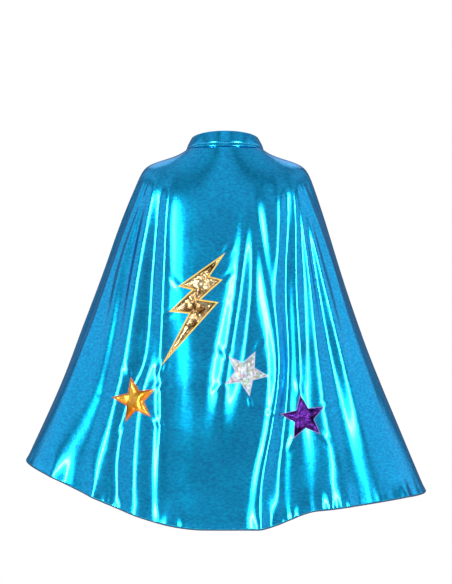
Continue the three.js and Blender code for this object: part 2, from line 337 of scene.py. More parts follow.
def smooth_point(u, v):
    """The cape without folds: u runs from -1 to 1 between the front edges, and v from neck to hem."""
    neck, shoulder, hem = rib(round(u, 5))
    softness = BACK_SOFTNESS + (TIP_SOFTNESS - BACK_SOFTNESS) * blend_from(abs(u), 0.0, TIP_FROM)
    start = past_shoulder(0, softness)
    span = past_shoulder(1, softness) - start
    hanging = (past_shoulder(v, softness) - start) / span
    lying = (v - span * hanging) / (1 - span)
    return neck + (shoulder - neck) * lying + (hem - shoulder) * hanging


# The folds, each with the line it runs along, as u at each of these heights, and there its half width and
# how far it stands out, both in millimetres. First come the ridges, from left to right, and then the
# hollows, which stand out negatively.
FOLD_HEIGHTS = [0.16, 0.40, 0.60, 0.75, 0.88, 1.0]
FOLDS = [
    ([-0.80, -0.90, -0.93, -0.94, -0.94, -0.94], [12, 18, 22, 26, 26, 26], [0, 5, 7, 6, 5, 5]),
    ([-0.56, -0.76, -0.80, -0.82, -0.83, -0.84], [9, 14, 18, 20, 20, 20], [1, 8, 7, 3, 3, 4]),
    ([-0.50, -0.63, -0.67, -0.69, -0.71, -0.73], [4, 6, 9, 12, 14, 14], [2, 3, 3, 2, 1, 0.5]),
    ([-0.46, -0.55, -0.545, -0.555, -0.62, -0.74], [4, 6, 9, 12, 14, 14], [2, 3, 3, 2, 1, 0]),
    ([-0.42, -0.43, -0.435, -0.465, -0.49, -0.50], [6, 13, 17, 19, 19, 18], [3, 7, 9, 7, 4, 3]),
    ([-0.315, -0.29, -0.27, -0.25, -0.245, -0.24], [4, 5, 5, 5, 6, 6], [1.5, 2, 2, 2.5, 2.5, 2]),
    ([-0.33, -0.33, -0.33, -0.34, -0.335, -0.32], [9, 12, 12, 14, 15, 15], [0, 0, 1, 5, 6, 6]),
    ([0.12, 0.06, 0.00, -0.03, -0.04, -0.05], [8, 11, 12, 12, 12, 12], [1.5, 6, 7, 2, 0, 0]),
    ([0.17, 0.19, 0.21, 0.21, 0.21, 0.21], [7, 9, 9, 9, 9, 9], [1.5, 5, 3, 0, 0, 0]),
    ([0.29, 0.235, 0.225, 0.18, 0.13, 0.11], [8, 9, 9, 8, 8, 9], [2, 4, 6, 5, 5, 4]),
    ([0.40, 0.34, 0.315, 0.30, 0.30, 0.30], [4, 6, 8, 10, 12, 13], [2, 3, 3, 2, 1, 2]),
    ([0.42, 0.42, 0.41, 0.41, 0.42, 0.42], [3, 6, 10, 13, 15, 16], [2, 3, 4, 4, 3, 3]),
    ([0.44, 0.49, 0.52, 0.545, 0.56, 0.57], [4, 8, 11, 13, 18, 20], [2, 4, 5, 3.5, 1.5, 1]),
    ([0.47, 0.60, 0.65, 0.67, 0.69, 0.70], [4, 8, 13, 17, 20, 20], [2, 2.5, 2, 1.5, 1, 1]),
    ([0.56, 0.76, 0.80, 0.82, 0.83, 0.84], [9, 16, 22, 24, 24, 24], [1, 3, 5, 7, 9, 10]),
    ([0.80, 0.90, 0.93, 0.94, 0.94, 0.94], [12, 18, 22, 26, 26, 26], [0, 4, 7, 8, 9, 9]),
    ([-0.48, -0.49, -0.49, -0.51, -0.55, -0.58], [3, 6, 9, 11, 13, 14], [-1, -2, -3, -3.5, -2.5, -2]),
    ([-0.36, -0.355, -0.345, -0.40, -0.41, -0.40], [4, 8, 8, 10, 11, 11], [-1, -3, -4, -5, -5, -5]),
    ([-0.22, -0.22, -0.20, -0.18, -0.17, -0.17], [9, 9, 11, 13, 14, 14], [0, 0, -1.5, -1.5, -1, -1]),
    ([0.2, 0.12, 0.08, 0.07, 0.05, 0.03], [9, 10, 12, 16, 20, 22], [0, -2, -3, -2, -1, 0]),
    ([0.345, 0.285, 0.27, 0.245, 0.21, 0.20], [5, 7, 8, 10, 11, 12], [-1.5, -3, -4, -5, -6, -7]),
    ([0.45, 0.455, 0.465, 0.475, 0.485, 0.49], [3, 7, 11, 15, 18, 20], [-1, -3, -4, -3, -1.5, -1]),
]
FOLDS_END = 4.6  # in half widths from a fold's line, past which it adds nothing
# Short gathers that run up from the hem seam where it draws the cloth in: each one's u, half width and
# height in millimetres, and how far up it reaches as a share of the rib.
HEM_GATHERS = [
    (-0.64, 9, 4.5, 0.040),
    (-0.470, 9, 9.0, 0.050),
    (-0.425, 5, 5.5, 0.034),
    (-0.395, 5, 4.5, 0.028),
    (-0.204, 7, 5.5, 0.030),
    (-0.170, 5, 4.0, 0.022),
    (0.125, 6, 4.5, 0.028),
    (0.200, 7, 6.5, 0.040),
    (0.240, 5, 5.0, 0.030),
    (0.375, 7, 9.0, 0.048),
    (0.410, 5, 6.5, 0.036),
    (0.445, 6, 6.5, 0.034),
    (0.68, 9, 5.0, 0.030),
]
HEM_GATHERS_FROM = 0.85
HEM_ROLL = 0.0010  # how full the bagged edge is, where shell and lining turn in to their seam
HEM_ROLL_REACH = 0.010  # and how far up it reaches, as a share of the rib
HEM_RUFFLE = 0.0009
ROW_AT_NECK = 0.29  # the length of cloth from the middle of the back to a front edge
ROW_GAIN = 0.147  # and how much longer it is at the hem
FOLD_WANDER = 0.008  # how far a fold strays from its line, in u
HANG_IN = 0.004  # how far in the hanging cloth lies, which makes room for its folds
BILLOW = 0.006
# Small wrinkles: the height of each kind, how many there are across and along, and the seed.
WRINKLES = [(0.0003, 17, 3.4, 11.0), (0.00015, 37, 7.5, 4.0)]


@functools.lru_cache(maxsize=None)
def folds_at(v):
    """Each fold's line, half width and height at v, in the cape's own measure across and in metres."""
    found = []
    for line, widths, heights in FOLDS:
        height = between(FOLD_HEIGHTS, heights, v) / 1000 * blend_from(v, 0.11, 0.2)
        width = max(between(FOLD_HEIGHTS, widths, v), 2.0) / 1000
        if abs(height) > 1e-5:
            found.append((between(FOLD_HEIGHTS, line, v), width, height))
    return found


def wrinkle(u, v, across, along, seed):
    """Noise from -1 to 1 that runs in streaks down the cape, this many to a unit across and along."""
    return noise.noise((u * across, v * along, seed))


def fold_height(u, v):
    """How far the cloth stands out from the smooth cape."""
    row_width = ROW_AT_NECK + ROW_GAIN * v
    wander = FOLD_WANDER * wrinkle(u, v, 4.0, 3.0, 7.3) * blend_from(v, 0.2, 0.6)
    out = -HANG_IN * blend_from(v, 0.15, 0.6)
    for line, width, height in folds_at(round(v, 5)):
        away = (u + wander - line) * row_width / width
        if abs(away) < FOLDS_END:
            out += height * math.exp(-away * away / 2)
    hanging = blend_from(v, 0.15, 0.75)
    out += BILLOW * hanging * blend_from(abs(u), 0.0, 0.45) * wrinkle(u, v, 4.2, 1.6, 2.1)
    small = blend_from(v, 0.10, 0.40) * (0.35 + 0.65 * blend_from(abs(u), 0.05, 0.40))
    for height, across, along, seed in WRINKLES:
        out += height * small * wrinkle(u, v, across, along, seed)
    if v > HEM_GATHERS_FROM:
        for line, width, height, length in HEM_GATHERS:
            up = (1 - v) / length
            aside = (u - line) * row_width / (width / 1000 * (1 + 0.35 * up))
            out += height / 1000 * math.exp(-(aside * aside + up * up) / 2)
        out += HEM_ROLL * math.exp(-(((v - 1) / HEM_ROLL_REACH) ** 2))
        out += HEM_RUFFLE * blend_from(v, 0.93, 1.0) * wrinkle(u, v, 34, 5.0, 60.0)
    return out


SLOPE_STEP = 0.004  # how far to each side the cape's slope is taken, in u and v


def cape_point(u, v, out=0.0):
    """A point of the folded cape, with out added along its outward direction."""
    along = smooth_point(min(u + SLOPE_STEP, 1.0), v) - smooth_point(max(u - SLOPE_STEP, -1.0), v)
    down = smooth_point(u, v + SLOPE_STEP) - smooth_point(u, max(v - SLOPE_STEP, 0.0))
    normal = down.cross(along).normalized()
    return smooth_point(u, v) + normal * (fold_height(u, v) + out)


SHELL_OUT = 0.0014  # the shell's face, out from the surface that touches the wearer
SHELL_THICKNESS = 0.0006
SHEET_EDGE = 0.999  # the sheets stop just short of the front edges' own line
COLUMNS = 304
ROWS = 100
HEM_CROWDING = 1.25  # above 1, the rows of cells lie closer together towards the hem


def rib_share(height):
    """The share of a rib that a flat sheet's height stands for, from 1 at the neck to -1 at the hem."""
    return 1 - ((1 + height) / 2) ** HEM_CROWDING


# Where the appliques sit, in metres to the wearer's right and up from the neck, and how far the stars
# reach.
BOLT_PLACE = (-0.046, -0.241)
ORANGE_STAR_PLACE = (-0.140, -0.393)
SILVER_STAR_PLACE = (0.031, -0.350)
PURPLE_STAR_PLACE = (0.122, -0.419)
STAR_RADIUS = 0.036
STAR_NOTCH = 0.45  # a notch's distance from the middle, as a share of a tip's
ORANGE_STAR_TURN = 12
SILVER_STAR_TURN = -26
PURPLE_STAR_TURN = 9


def star_outline(radius, turn):
    """Ten corners, tip and notch in turn, from the top tip, which leans by turn degrees."""
    corners = []
    for i in range(10):
        angle = math.radians(90 + turn + 36 * i)
        reach = radius * (STAR_NOTCH if i % 2 else 1)
        corners.append(Vector((reach * math.cos(angle), reach * math.sin(angle))))
    return corners


BOLT_CORNERS = [
    (44, 75), (-26, 25), (-4, 20), (-40, -14), (-9, -17), (-49, -94), (35, 0), (7, 4), (41, 35), (21, 40),
]
BOLT_OUTLINE = [Vector((x / 1000, z / 1000)) for x, z in BOLT_CORNERS]
APPLIQUES = [
    (BOLT_PLACE, BOLT_OUTLINE),
    (ORANGE_STAR_PLACE, star_outline(STAR_RADIUS, ORANGE_STAR_TURN)),
    (SILVER_STAR_PLACE, star_outline(STAR_RADIUS, SILVER_STAR_TURN)),
    (PURPLE_STAR_PLACE, star_outline(STAR_RADIUS, PURPLE_STAR_TURN)),
]
PUCKER_LENGTH = 0.024
PUCKER_WIDTH = 0.0034
PUCKER_HEIGHT = 0.0007
PUCKER_START = -0.006  # how far past a tip its pucker begins, so just inside the applique
PUCKER_REACH = 0.14  # from the middle of an applique, past which it draws up no cloth
TIP_LENGTH = 0.7 * STAR_RADIUS  # a corner farther out than this is a tip


def pucker(point):
    """How far the cloth is drawn up in a short ridge off each tip of an applique."""
    raised = 0.0
    for (x, z), outline in APPLIQUES:
        place = Vector((point.x - x, point.z - z))
        if place.length > PUCKER_REACH or point.y > 0:
            continue
        for corner in outline:
            if corner.length < TIP_LENGTH:
                continue
            outward = corner.normalized()
            past = (place - corner).dot(outward)
            if PUCKER_START < past < PUCKER_LENGTH:
                aside = (place - corner).dot(Vector((-outward.y, outward.x)))
                fade = math.sin(math.pi * (past - PUCKER_START) / (PUCKER_LENGTH - PUCKER_START)) ** 0.8
                ridge = math.exp(-((aside / PUCKER_WIDTH) ** 2)) - 0.45 * math.exp(
                    -(((abs(aside) - 2.2 * PUCKER_WIDTH) / PUCKER_WIDTH) ** 2)
                )
                uneven = 1 + 0.8 * noise.noise((x * 90, z * 90, 60 * corner.y))
                raised += PUCKER_HEIGHT * fade * ridge * uneven
    return raised


FINER_ACROSS = 0.065  # how far to each side of an applique the cells are split
FINER_WITHIN = 0.6  # the part of the back that holds the appliques, in u from its middle
FINER_FROM = 0.2  # and in v from the neck


def finer_near_appliques(sheet):
    """Splits the cells under and round each applique in four, while the sheet is still flat."""
    near = []
    for face in sheet.faces:
        middle = face.calc_center_median()
        u, v = middle.x, rib_share(middle.y)
        if abs(u) > FINER_WITHIN or v < FINER_FROM:
            continue
        point = smooth_point(u, v)
        for (x, z), outline in APPLIQUES:
            reach = max(corner.length for corner in outline) + PUCKER_LENGTH
            if abs(point.x - x) < FINER_ACROSS and abs(point.z - z) < reach:
                near.append(face)
                break
    edges = list({edge for face in near for edge in face.edges})
    bmesh.ops.subdivide_edges(sheet, edges=edges, cuts=1, use_grid_fill=True)


# Foil knit: bright turquoise metal, shiny along the folds, with a fine broken grain where the foil lies on
# the loops of the knit, drawn out along its courses. The grain of a real knit is about 0.4 mm: here it is 3
# mm, as coarse as it needs to show.
foil_knit, tree, shader, place = new_material("polyester_knit_foil_bonded_turquoise")
GRAIN_ALONG = 0.0055
GRAIN_UP = 0.0028
GRAIN_LOOP = 0.0030
grain_scale = (1 / GRAIN_ALONG, 1 / GRAIN_ALONG, 1 / GRAIN_UP)
courses = add_node(tree, "ShaderNodeMapping", {"Scale": grain_scale}, {"Vector": place})
grain = add_node(
    tree,
    "ShaderNodeTexNoise",
    {"Scale": 1.0, "Detail": 1.0, "Roughness": 0.5},
    {"Vector": courses.outputs[0]},
)
loops = add_node(tree, "ShaderNodeTexVoronoi", {"Scale": 1 / GRAIN_LOOP}, {"Vector": place})
streaks = add_node(tree, "ShaderNodeMapping", {"Scale": (1 / 0.02, 1 / 0.02, 1 / 0.11)}, {"Vector": place})
creases = add_node(
    tree,
    "ShaderNodeTexNoise",
    {"Scale": 1.0, "Detail": 4.0, "Roughness": 0.6},
    {"Vector": streaks.outputs[0]},
)
patches = add_node(tree, "ShaderNodeTexNoise", {"Scale": 1 / 0.05, "Detail": 2.0}, {"Vector": place})
tone = add_node(
    tree, "ShaderNodeMapRange", {"From Min": 0.25, "From Max": 0.75}, {"Value": grain.outputs["Fac"]}
)
tones = {"data_type": "RGBA", 6: linear("#008fc6"), 7: linear("#00b9e6")}
colour = add_node(tree, "ShaderNodeMix", tones, {0: tone.outputs["Result"]})
polish = add_node(
    tree,
    "ShaderNodeMapRange",
    {"From Min": 0.3, "From Max": 0.7, "To Min": 0.20, "To Max": 0.27},
    {"Value": patches.outputs["Fac"]},
)
fine = add_node(
    tree, "ShaderNodeBump", {"Strength": 0.3, "Distance": 0.0001}, {"Height": loops.outputs["Distance"]}
)
rough = add_node(
    tree,
    "ShaderNodeBump",
    {"Strength": 0.3, "Distance": 0.0002},
    {"Height": grain.outputs["Fac"], "Normal": fine.outputs["Normal"]},
)
broad = add_node(
    tree,
    "ShaderNodeBump",
    {"Strength": 0.5, "Distance": 0.0003},
    {"Height": creases.outputs["Fac"], "Normal": rough.outputs["Normal"]},
)
set_up(
    shader,
    {
        "Metallic": 1.0, "Specular Tint": linear("#1e94b8"),
        "Coat Weight": 0.5, "Coat IOR": 1.5, "Coat Roughness": 0.15,
    },
    {
        "Base Color": colour.outputs[2],
        "Roughness": polish.outputs["Result"],
        "Normal": broad.outputs["Normal"],
    },
)

shell_mesh = bmesh.new()
bmesh.ops.create_grid(shell_mesh, x_segments=COLUMNS, y_segments=ROWS, size=1)
finer_near_appliques(shell_mesh)
for vertex in shell_mesh.verts:
    u, v = vertex.co.x * SHEET_EDGE, rib_share(vertex.co.y)
    vertex.co = cape_point(u, v, SHELL_OUT)
    vertex.co.y -= pucker(vertex.co)
shell = finish_mesh(shell_mesh, "foil_shell", foil_knit)
thickness = shell.modifiers.new("cloth thickness", "SOLIDIFY")
thickness.thickness = SHELL_THICKNESS
thickness.offset = -1
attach(shell, "cape")
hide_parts("outer_shell")

# ---- Lining ----
# Dark navy satin cut to the same shape and bagged out with the shell, so it shows inside and as a thin line
# at the hem.
LINING_OUT = 0.0004
LINING_THICKNESS = 0.0003
LINING_HEM_SHARE = 1.0028

lining_satin, tree, shader, place = new_material("polyester_satin_woven_navy")
weave = add_node(tree, "ShaderNodeTexNoise", {"Scale": 1 / 0.0015, "Detail": 2.0}, {"Vector": place})
tones = {"data_type": "RGBA", 6: linear("#0e2244"), 7: linear("#183460")}
colour = add_node(tree, "ShaderNodeMix", tones, {0: weave.outputs["Fac"]})
bump = add_node(
    tree, "ShaderNodeBump", {"Strength": 0.3, "Distance": 0.0004}, {"Height": weave.outputs["Fac"]}
)
set_up(
    shader,
    {"Roughness": 0.45, "Sheen Weight": 0.3, "Sheen Roughness": 0.4},
    {"Base Color": colour.outputs[2], "Normal": bump.outputs["Normal"]},
)

lining_mesh = bmesh.new()
bmesh.ops.create_grid(lining_mesh, x_segments=COLUMNS, y_segments=ROWS, size=1)
for vertex in lining_mesh.verts:
    u, v = vertex.co.x, rib_share(vertex.co.y) * LINING_HEM_SHARE
    vertex.co = cape_point(u, v, LINING_OUT)
lining = finish_mesh(lining_mesh, "satin_lining", lining_satin)
thickness = lining.modifiers.new("cloth thickness", "SOLIDIFY")
thickness.thickness = LINING_THICKNESS
thickness.offset = -1
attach(lining, "cape")
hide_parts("lining")

# ---- Collar ----
# A stand collar: two bands of the foil knit turned over a stiffener, so the top edge is a soft roll. Its
# left end steps out over the right one and is the tab that closes it.
COLLAR_BASE = -0.0012  # just inside the neck seam, which it hides
COLLAR_TOP = 0.024
COLLAR_SIDE_DROP = 0.005
COLLAR_LEAN = 0.36
COLLAR_PUFF = 0.0005
BAND_THICKNESS = 0.0026
OVERLAP_STEP = 0.0059
OVERLAP_STEP_FROM = 148
TAB_ROOT_ANGLE = -150
BAND_END_ANGLE = 176
TAB_END_ANGLE = -216
TAB_CORNER = 0.005
STITCH_LINE = 0.0046  # the topstitching's height above the seam
STITCH_DENT = 0.0006
STITCH_DENT_WIDTH = 0.0009
BAND_UNEVENNESS = 0.0003
BAND_CELLS = 64  # once round the band's cut end


def collar_point(angle, height, out):
    """A point of the collar: degrees round from the nape, height over the seam, and distance out."""
    turn = math.radians(angle)
    step = OVERLAP_STEP * blend_from(-angle, OVERLAP_STEP_FROM, BAND_END_ANGLE)
    reach = out + step - COLLAR_LEAN * height
    risen = height * (1 - COLLAR_SIDE_DROP / COLLAR_TOP * math.sin(turn) ** 2)
    return neck_point(turn) + Vector((reach * math.sin(turn), -reach * math.cos(turn), risen))


def band_section(along, low, high):
    """The band's cut end, once round from the inside of its foot: the height and the distance out."""
    middle, half = BAND_THICKNESS / 2, BAND_THICKNESS / 2
    straight = high - low - 2 * half
    arc = math.pi * half
    walked = along * 2 * (straight + arc)
    if walked < straight:
        height, out = low + half + walked, 0.0
        face, side = walked / straight, -1
    elif walked < straight + arc:
        angle = (walked - straight) / half
        return high - half + half * math.sin(angle), middle - half * math.cos(angle)
    elif walked < 2 * straight + arc:
        height, out = high - half - (walked - straight - arc), BAND_THICKNESS
        face, side = (height - low - half) / straight, 1
    else:
        angle = (walked - 2 * straight - arc) / half
        return low + half - half * math.sin(angle), middle + half * math.cos(angle)
    out += side * COLLAR_PUFF * math.sin(math.pi * face)
    if side > 0:
        out -= STITCH_DENT * math.exp(-(((height - STITCH_LINE) / STITCH_DENT_WIDTH) ** 2))
    return height, out


def band_mesh(start, end, columns, free_end=None):
    """The collar's band between two angles, with its corners rounded at the free end if it has one."""
    band = bmesh.new()
    bmesh.ops.create_grid(band, x_segments=columns, y_segments=BAND_CELLS, size=0.5)
    for vertex in band.verts:
        angle = start + (end - start) * (vertex.co.x + 0.5)
        low, high = COLLAR_BASE, COLLAR_TOP
        if free_end is not None:
            to_end = abs(angle - free_end) * math.radians(1) * NECK_HALF_WIDTH
            if to_end < TAB_CORNER:
                cut = TAB_CORNER - math.sqrt(TAB_CORNER**2 - (TAB_CORNER - to_end) ** 2)
                low, high = low + cut, high - cut
        height, out = band_section((vertex.co.y + 0.5) % 1.0, low, high)
        out += BAND_UNEVENNESS * noise.noise((angle / 14, height * 60, out * 60))
        vertex.co = collar_point(angle, height, out)
    bmesh.ops.remove_doubles(band, verts=band.verts, dist=1e-6)
    bmesh.ops.holes_fill(band, edges=[e for e in band.edges if e.is_boundary], sides=0)
    bmesh.ops.recalc_face_normals(band, faces=band.faces)
    return band


collar = finish_mesh(band_mesh(TAB_ROOT_ANGLE, BAND_END_ANGLE, 200), "collar_band", foil_knit)
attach(collar, "cape")
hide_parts("collar_outer", "collar_stiffener", "collar_inner")

tab_band = band_mesh(TAB_END_ANGLE, TAB_ROOT_ANGLE, 60, free_end=TAB_END_ANGLE)
tab = finish_mesh(tab_band, "closure_tab_band", foil_knit)
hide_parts("closure_tab_outer", "closure_tab_stiffener", "closure_tab_inner")
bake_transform(tab)

# ---- Collar topstitching ----
# One row of lockstitch in matching thread, 3 mm to a stitch, which holds the collar's foot flat and goes on
# along the closing tab.
STITCH_PITCH = 0.003
STITCH_HALF_LENGTH = 0.00125
THREAD_RADIUS = 0.00026

thread_turquoise, tree, shader, place = new_material("spun_polyester_thread_turquoise")
twist = add_node(tree, "ShaderNodeTexNoise", {"Scale": 1 / 0.0003}, {"Vector": place})
bump = add_node(
    tree, "ShaderNodeBump", {"Strength": 0.5, "Distance": 0.0001}, {"Height": twist.outputs["Fac"]}
)
set_up(
    shader,
    {"Base Color": linear("#3fc4e6"), "Roughness": 0.45, "Sheen Weight": 0.4},
    {"Normal": bump.outputs["Normal"]},
)


def add_stitch(mesh, start, end, radius=THREAD_RADIUS):
    """One stitch: a slim bead of thread that dips into the cloth at both ends."""
    along = end - start
    turn = along.to_track_quat("X", "Z").to_matrix().to_4x4()
    size = Matrix.Diagonal((along.length / 2, radius, radius, 1))
    matrix = Matrix.Translation((start + end) / 2) @ turn @ size
    bmesh.ops.create_uvsphere(mesh, u_segments=6, v_segments=5, radius=1, matrix=matrix)


def collar_stitches(start, end):
    """The row of topstitching between two angles."""
    row = bmesh.new()
    pitch = math.degrees(STITCH_PITCH / NECK_HALF_WIDTH)
    half = math.degrees(STITCH_HALF_LENGTH / NECK_HALF_WIDTH)
    out = BAND_THICKNESS - STITCH_DENT + 1.4 * THREAD_RADIUS
    for i in range(int((end - start) / pitch)):
        angle = start + pitch * (i + 0.5)
        ends = [collar_point(angle + turn, STITCH_LINE, out) for turn in (-half, half)]
        add_stitch(row, *ends)
    return row


collar_row = collar_stitches(TAB_ROOT_ANGLE, BAND_END_ANGLE)
stitches = finish_mesh(collar_row, "collar_topstitching_row", thread_turquoise)
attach(stitches, "cape")
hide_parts("collar_topstitching")
TAB_STITCHES_SHORT = 5  # degrees short of the tab's free end
tab_row = collar_stitches(TAB_END_ANGLE + TAB_STITCHES_SHORT, TAB_ROOT_ANGLE)
tab_stitches = finish_mesh(tab_row, "tab_topstitching_row", thread_turquoise)
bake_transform(tab_stitches)

# ---- Closure ----
# Hook-and-loop tape: stiff hooks inside the tab and soft loops outside the other end of the collar. A row
# of lockstitch goes round each patch and shows on both faces of the band it is sewn to.
PATCH_ANGLES = (146, 173)
PATCH_HEIGHTS = (0.0065, 0.0205)
PATCH_STITCH_INSET = 0.0012
LOOP_PATCH_FACE = 0.0039
HOOK_PATCH_FACE = -0.0015
HOOK_PITCH = 0.0013
HOOK_LENGTH = 0.00042
HOOK_ROOT_RADIUS = 0.00028
STITCH_PROUD = 0.5 * THREAD_RADIUS  # how far out of the cloth a patch's stitches lie


def tape_material(name, dark, light, tuft, depth, roughness, sheen):
    """Nylon tape covered in tufts of this size and depth: coarse for hooks, fine and furry for loops."""
    material, tree, shader, place = new_material(name)
    tufts = add_node(tree, "ShaderNodeTexVoronoi", {"Scale": 1 / tuft}, {"Vector": place})
    fuzz = add_node(tree, "ShaderNodeTexNoise", {"Scale": 2.5 / tuft, "Detail": 3.0}, {"Vector": place})
    tones = {"data_type": "RGBA", 6: linear(dark), 7: linear(light)}
    tint = add_node(tree, "ShaderNodeMix", tones, {0: fuzz.outputs["Fac"]})
    tuft_bump = add_node(
        tree, "ShaderNodeBump", {"Strength": 1.0, "Distance": depth}, {"Height": tufts.outputs["Distance"]}
    )
    fuzz_bump = add_node(
        tree,
        "ShaderNodeBump",
        {"Strength": 0.6, "Distance": depth / 3},
        {"Height": fuzz.outputs["Fac"], "Normal": tuft_bump.outputs["Normal"]},
    )
    set_up(
        shader,
        {"Roughness": roughness, "Sheen Weight": sheen},
        {"Base Color": tint.outputs[2], "Normal": fuzz_bump.outputs["Normal"]},
    )
    return material


def dress_node(node, material):
    """Gives a node of the frame its finished material."""
    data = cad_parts[node].data
    data.materials.clear()
    data.materials.append(material)


hook_tape = tape_material("woven_nylon_hook_tape_black", "#121316", "#2a2c31", 0.0013, 0.0006, 0.4, 0.1)
loop_tape = tape_material("brushed_nylon_loop_tape_black", "#16171b", "#3a3c44", 0.0008, 0.0004, 0.85, 0.7)
dress_node("hook_patch", hook_tape)
dress_node("loop_patch", loop_tape)


def band_face(height, side):
    """How far out the band's outer (1) or inner (-1) face is at a height."""
    face = (height - COLLAR_BASE - BAND_THICKNESS / 2) / (COLLAR_TOP - COLLAR_BASE - BAND_THICKNESS)
    return BAND_THICKNESS * (side + 1) / 2 + side * COLLAR_PUFF * math.sin(math.pi * face)


def patch_stitches(mesh, angles, face):
    """A row of stitches round a patch: face gives how far out they lie at a height."""
    inset_angle = math.degrees(PATCH_STITCH_INSET / NECK_HALF_WIDTH)
    first, last = angles[0] + inset_angle, angles[1] - inset_angle
    low, high = PATCH_HEIGHTS[0] + PATCH_STITCH_INSET, PATCH_HEIGHTS[1] - PATCH_STITCH_INSET
    corners = [(first, low), (last, low), (last, high), (first, high)]
    for (a, b), (c, d) in zip(corners, corners[1:] + corners[:1]):
        count = round(math.hypot(math.radians(c - a) * NECK_HALF_WIDTH, d - b) / STITCH_PITCH)
        for i in range(count):
            start, end = (i + 0.08) / count, (i + 0.92) / count
            ends = [(a + (c - a) * t, b + (d - b) * t) for t in (start, end)]
            add_stitch(mesh, *(collar_point(angle, height, face(height)) for angle, height in ends))


tab_angles = [angle - 360 for angle in PATCH_ANGLES]
for patch, body, angles, patch_face, side in [
    ("loop_patch", "cape", PATCH_ANGLES, LOOP_PATCH_FACE, 1),
    ("hook_patch", "closure_tab", tab_angles, HOOK_PATCH_FACE, -1),
]:
    row = bmesh.new()
    patch_stitches(row, angles, lambda height: patch_face + side * STITCH_PROUD)
    patch_stitches(row, angles, lambda height: band_face(height, -side) - side * STITCH_PROUD)
    row = finish_mesh(row, patch + "_stitches", thread_turquoise)
    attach(row, body)
    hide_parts(patch + "_stitching")

hooks = bmesh.new()
hook_turn = math.degrees(HOOK_PITCH / NECK_HALF_WIDTH)
for i in range(1, int((tab_angles[1] - tab_angles[0]) / hook_turn)):
    for j in range(1, int((PATCH_HEIGHTS[1] - PATCH_HEIGHTS[0]) / HOOK_PITCH)):
        angle = tab_angles[0] + (i + 0.5 * (j % 2)) * hook_turn
        height = PATCH_HEIGHTS[0] + j * HOOK_PITCH
        root = collar_point(angle, height, HOOK_PATCH_FACE)
        tip = collar_point(angle, height, HOOK_PATCH_FACE - HOOK_LENGTH)
        turn = (tip - root).to_track_quat("Z", "X").to_matrix().to_4x4()
        bmesh.ops.create_cone(
            hooks,
            cap_ends=True,
            segments=5,
            radius1=HOOK_ROOT_RADIUS,
            radius2=HOOK_ROOT_RADIUS / 2,
            depth=HOOK_LENGTH,
            matrix=Matrix.Translation((root + tip) / 2) @ turn,
        )
hooks = finish_mesh(hooks, "tape_hooks", hook_tape)
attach(hooks, "closure_tab")

# ---- Hanging loop and size label ----
# A loop of white satin tape at the nape to hang the cape up by, and a blank satin label beside it. Each is
# caught in the neck seam by its top edge with a short row of stitches.
TAPE_TOP = 0.002
LOOP_PLANE = -0.0544
LOOP_BAR_TACKS = (-0.008, 0.008)
LABEL_ANGLE = math.radians(34)
LABEL_INSIDE = 0.0022
LABEL_THICKNESS = 0.0005
CLOUD_SIZE = 0.004  # the size of the soft light and dark patches in the satin
TACK_STITCHES = 7
TACK_PITCH = 0.0005
TACK_TOP = TAPE_TOP - 0.0012
TACK_PLANE = LOOP_PLANE + 0.0006
TACK_LEAN = 0.0003
TACK_LENGTH = 0.0026


def satin_material(name, dark, light, rib, slant):
    """White satin with a soft gloss and ribs this far apart, turned by slant."""
    material, tree, shader, place = new_material(name)
    turned = add_node(tree, "ShaderNodeMapping", {"Rotation": (0, slant, 0)}, {"Vector": place})
    # A wave repeats 20 times in its scale's unit over 2 pi, so this is one rib every `rib` metres.
    ribs = add_node(
        tree,
        "ShaderNodeTexWave",
        {"Scale": math.pi / (10 * rib), "Distortion": 0.4, "Detail": 2.0},
        {"Vector": turned.outputs[0]},
    )
    cloudy = add_node(
        tree, "ShaderNodeTexNoise", {"Scale": 1 / CLOUD_SIZE, "Detail": 3.0}, {"Vector": place}
    )
    tones = {"data_type": "RGBA", 6: linear(dark), 7: linear(light)}
    tint = add_node(tree, "ShaderNodeMix", tones, {0: cloudy.outputs["Fac"]})
    bump = add_node(
        tree, "ShaderNodeBump", {"Strength": 0.6, "Distance": 0.0001}, {"Height": ribs.outputs["Fac"]}
    )
    set_up(
        shader,
        {"Roughness": 0.38, "Sheen Weight": 0.3},
        {"Base Color": tint.outputs[2], "Normal": bump.outputs["Normal"]},
    )
    return material


dress_node("hanging_loop", satin_material("woven_satin_tape_white", "#cfcdc6", "#ebe9e2", 0.0008, 0.6))
dress_node("size_label", satin_material("woven_satin_label_white", "#d6d4ce", "#f0eee8", 0.0006, 0.0))

tacks = bmesh.new()
for middle in LOOP_BAR_TACKS:
    for i in range(TACK_STITCHES):
        x = middle + (i - TACK_STITCHES // 2) * TACK_PITCH
        start = Vector((x, TACK_PLANE, TACK_TOP))
        add_stitch(tacks, start, start + Vector((TACK_LEAN, 0, -TACK_LENGTH)))
tacks = finish_mesh(tacks, "hanging_loop_bar_tacks", thread_turquoise)
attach(tacks, "hanging_loop")

label_out = Vector((math.sin(LABEL_ANGLE), -math.cos(LABEL_ANGLE), 0))
label_along = Vector((math.cos(LABEL_ANGLE), math.sin(LABEL_ANGLE), 0))
label_depth = LABEL_INSIDE + LABEL_THICKNESS / 2 + 0.3 * THREAD_RADIUS
label_top = neck_point(LABEL_ANGLE) - label_out * label_depth
label_top.z = TAPE_TOP - 0.0014
label_row = bmesh.new()
for i in range(-3, 3):
    start = label_top + label_along * (i + 0.1) * STITCH_PITCH
    end = label_top + label_along * (i + 0.9) * STITCH_PITCH
    add_stitch(label_row, start, end)
label_row = finish_mesh(label_row, "size_label_stitches", thread_turquoise)
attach(label_row, "size_label")

